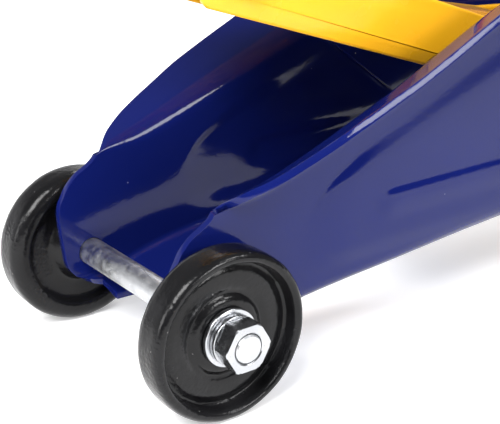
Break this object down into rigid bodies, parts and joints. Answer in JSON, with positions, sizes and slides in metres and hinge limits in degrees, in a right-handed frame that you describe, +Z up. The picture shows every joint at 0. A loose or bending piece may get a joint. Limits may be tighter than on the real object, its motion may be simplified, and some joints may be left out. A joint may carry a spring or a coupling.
{
  "type": "trolley jack",
  "caption": "Low-profile hydraulic trolley jack: steel side plates, a lift arm with levelled swivel saddle, pump handle, fixed front wheels and rear casters.",
  "frame": {"origin": "centre of the bounding box at ground level, with the arm part raised and the handle half lowered", "axes": "+X to the rear, where the handle is; +Y towards the right-hand side plate; +Z up"},
  "size_m": [0.8134, 0.2, 0.5121],
  "materials": {
    "blue_paint": "deep blue gloss enamel on pressed steel",
    "yellow_paint": "golden yellow gloss enamel on pressed steel",
    "black_iron": "black gloss paint over rough cast iron",
    "zinc_plate": "bright zinc plated steel",
    "dark_steel": "plain dark machined steel",
    "spring_steel": "oiled spring wire",
    "black_rubber": "matt black rubber"
  },
  "bodies": {
    "chassis": {"side_plate_left": "blue_paint", "side_plate_right": "blue_paint", "pivot_doubler_left": "blue_paint", "pivot_doubler_right": "blue_paint", "cross_plate": "blue_paint", "top_cover": "blue_paint", "arm_pivot_shaft": "zinc_plate", "pivot_nut": "zinc_plate", "link_rod": "zinc_plate", "spring_rod": "zinc_plate", "front_axle": "zinc_plate", "axle_washer_left": "zinc_plate", "axle_washer_right": "zinc_plate", "spring_washer_left": "zinc_plate", "spring_washer_right": "zinc_plate", "axle_nut_left": "zinc_plate", "axle_nut_right": "zinc_plate", "caster_bracket_left": "blue_paint", "caster_bracket_right": "blue_paint", "kingpin_left": "zinc_plate", "kingpin_right": "zinc_plate", "pump_block": "black_iron", "ram_cylinder": "black_iron", "reservoir_tube": "dark_steel", "block_bolt_left": "zinc_plate", "block_bolt_right": "zinc_plate", "handle_shaft": "zinc_plate", "return_spring_left": "spring_steel", "return_spring_right": "spring_steel", "pump_spring": "spring_steel", "filler_plug": "black_rubber"},
    "front_wheel_left": {"front_wheel_left": "black_iron"},
    "front_wheel_right": {"front_wheel_right": "black_iron"},
    "lift_arm": {"lift_arm": "yellow_paint", "lever_plate_left": "dark_steel", "lever_plate_right": "dark_steel", "arm_bush": "dark_steel", "push_pin": "zinc_plate", "saddle_pin": "zinc_plate"},
    "push_roller": {"push_roller": "dark_steel"},
    "ram": {"ram": "zinc_plate"},
    "saddle_bracket": {"saddle_bracket": "yellow_paint", "link_pin": "zinc_plate"},
    "levelling_link": {"levelling_link": "yellow_paint"},
    "saddle": {"saddle": "black_iron", "saddle_pad": "black_rubber"},
    "handle": {"handle_socket": "blue_paint", "handle_lower_tube": "blue_paint", "handle_upper_tube": "blue_paint", "handle_grip": "black_rubber", "clamp_screw": "zinc_plate", "pump_roller": "dark_steel"},
    "pump_plunger": {"pump_plunger": "zinc_plate"},
    "release_valve": {"release_valve": "zinc_plate"},
    "caster_left": {"caster_fork_left": "zinc_plate", "caster_axle_left": "zinc_plate"},
    "caster_right": {"caster_fork_right": "zinc_plate", "caster_axle_right": "zinc_plate"},
    "caster_wheel_left": {"caster_wheel_left": "black_iron"},
    "caster_wheel_right": {"caster_wheel_right": "black_iron"}
  },
  "joints": [
    {"name": "front_wheel_left_spin", "type": "hinge", "parent": "chassis", "child": "front_wheel_left", "pos_m": [-0.37266, -0.05675, 0.035], "axis": [0, 1, 0], "continuous": true},
    {"name": "front_wheel_right_spin", "type": "hinge", "parent": "chassis", "child": "front_wheel_right", "pos_m": [-0.37266, 0.05675, 0.035], "axis": [0, 1, 0], "continuous": true},
    {"name": "arm_lift", "type": "hinge", "parent": "chassis", "child": "lift_arm", "pos_m": [-0.11466, 0, 0.091], "axis": [0, 1, 0], "range_deg": [-14.2, 38.8], "deforming": ["return_spring_left", "return_spring_right"]},
    {"name": "push_roller_spin", "type": "hinge", "parent": "lift_arm", "child": "push_roller", "pos_m": [-0.10613, 0, 0.05192], "axis": [0, 1, 0], "continuous": true},
    {"name": "ram_slide", "type": "slide", "parent": "chassis", "child": "ram", "axis": [-1, 0, 0], "range_m": [-0.00976, 0.02633]},
    {"name": "saddle_tilt", "type": "hinge", "parent": "lift_arm", "child": "saddle_bracket", "pos_m": [-0.34612, 0, 0.165], "axis": [0, 1, 0], "range_deg": [-38.9, 14.3]},
    {"name": "link_swing", "type": "hinge", "parent": "chassis", "child": "levelling_link", "pos_m": [-0.07866, 0, 0.113], "axis": [0, 1, 0], "range_deg": [-14.3, 38.9]},
    {"name": "saddle_swivel", "type": "hinge", "parent": "saddle_bracket", "child": "saddle", "pos_m": [-0.35212, 0, 0.189], "axis": [0, 0, 1], "continuous": true},
    {"name": "handle_pump", "type": "hinge", "parent": "chassis", "child": "handle", "pos_m": [0.05934, 0, 0.103], "axis": [0, 1, 0], "range_deg": [-30, 30], "deforming": ["pump_spring"]},
    {"name": "plunger_slide", "type": "slide", "parent": "chassis", "child": "pump_plunger", "axis": [-1, 0, 0], "range_m": [-0.01523, 0.01523]},
    {"name": "valve_turn", "type": "hinge", "parent": "chassis", "child": "release_valve", "pos_m": [0.02334, 0.02, 0.049], "axis": [1, 0, 0], "range_deg": [0, 360]},
    {"name": "caster_left_swivel", "type": "hinge", "parent": "chassis", "child": "caster_left", "pos_m": [0.01234, -0.078, 0.054], "axis": [0, 0, 1], "continuous": true},
    {"name": "caster_right_swivel", "type": "hinge", "parent": "chassis", "child": "caster_right", "pos_m": [0.01234, 0.078, 0.054], "axis": [0, 0, 1], "continuous": true},
    {"name": "caster_wheel_left_spin", "type": "hinge", "parent": "caster_left", "child": "caster_wheel_left", "pos_m": [0.02834, -0.078, 0.023], "axis": [0, 1, 0], "continuous": true},
    {"name": "caster_wheel_right_spin", "type": "hinge", "parent": "caster_right", "child": "caster_wheel_right", "pos_m": [0.02834, 0.078, 0.023], "axis": [0, 1, 0], "continuous": true}
  ],
  "couplings": [
    {"joint": "ram_slide", "follows": "arm_lift", "m_per_rad": 0.038589},
    {"joint": "saddle_tilt", "follows": "arm_lift", "ratio": -1},
    {"joint": "link_swing", "follows": "arm_lift", "ratio": 1},
    {"joint": "plunger_slide", "follows": "handle_pump", "m_per_rad": 0.0287}
  ]
}
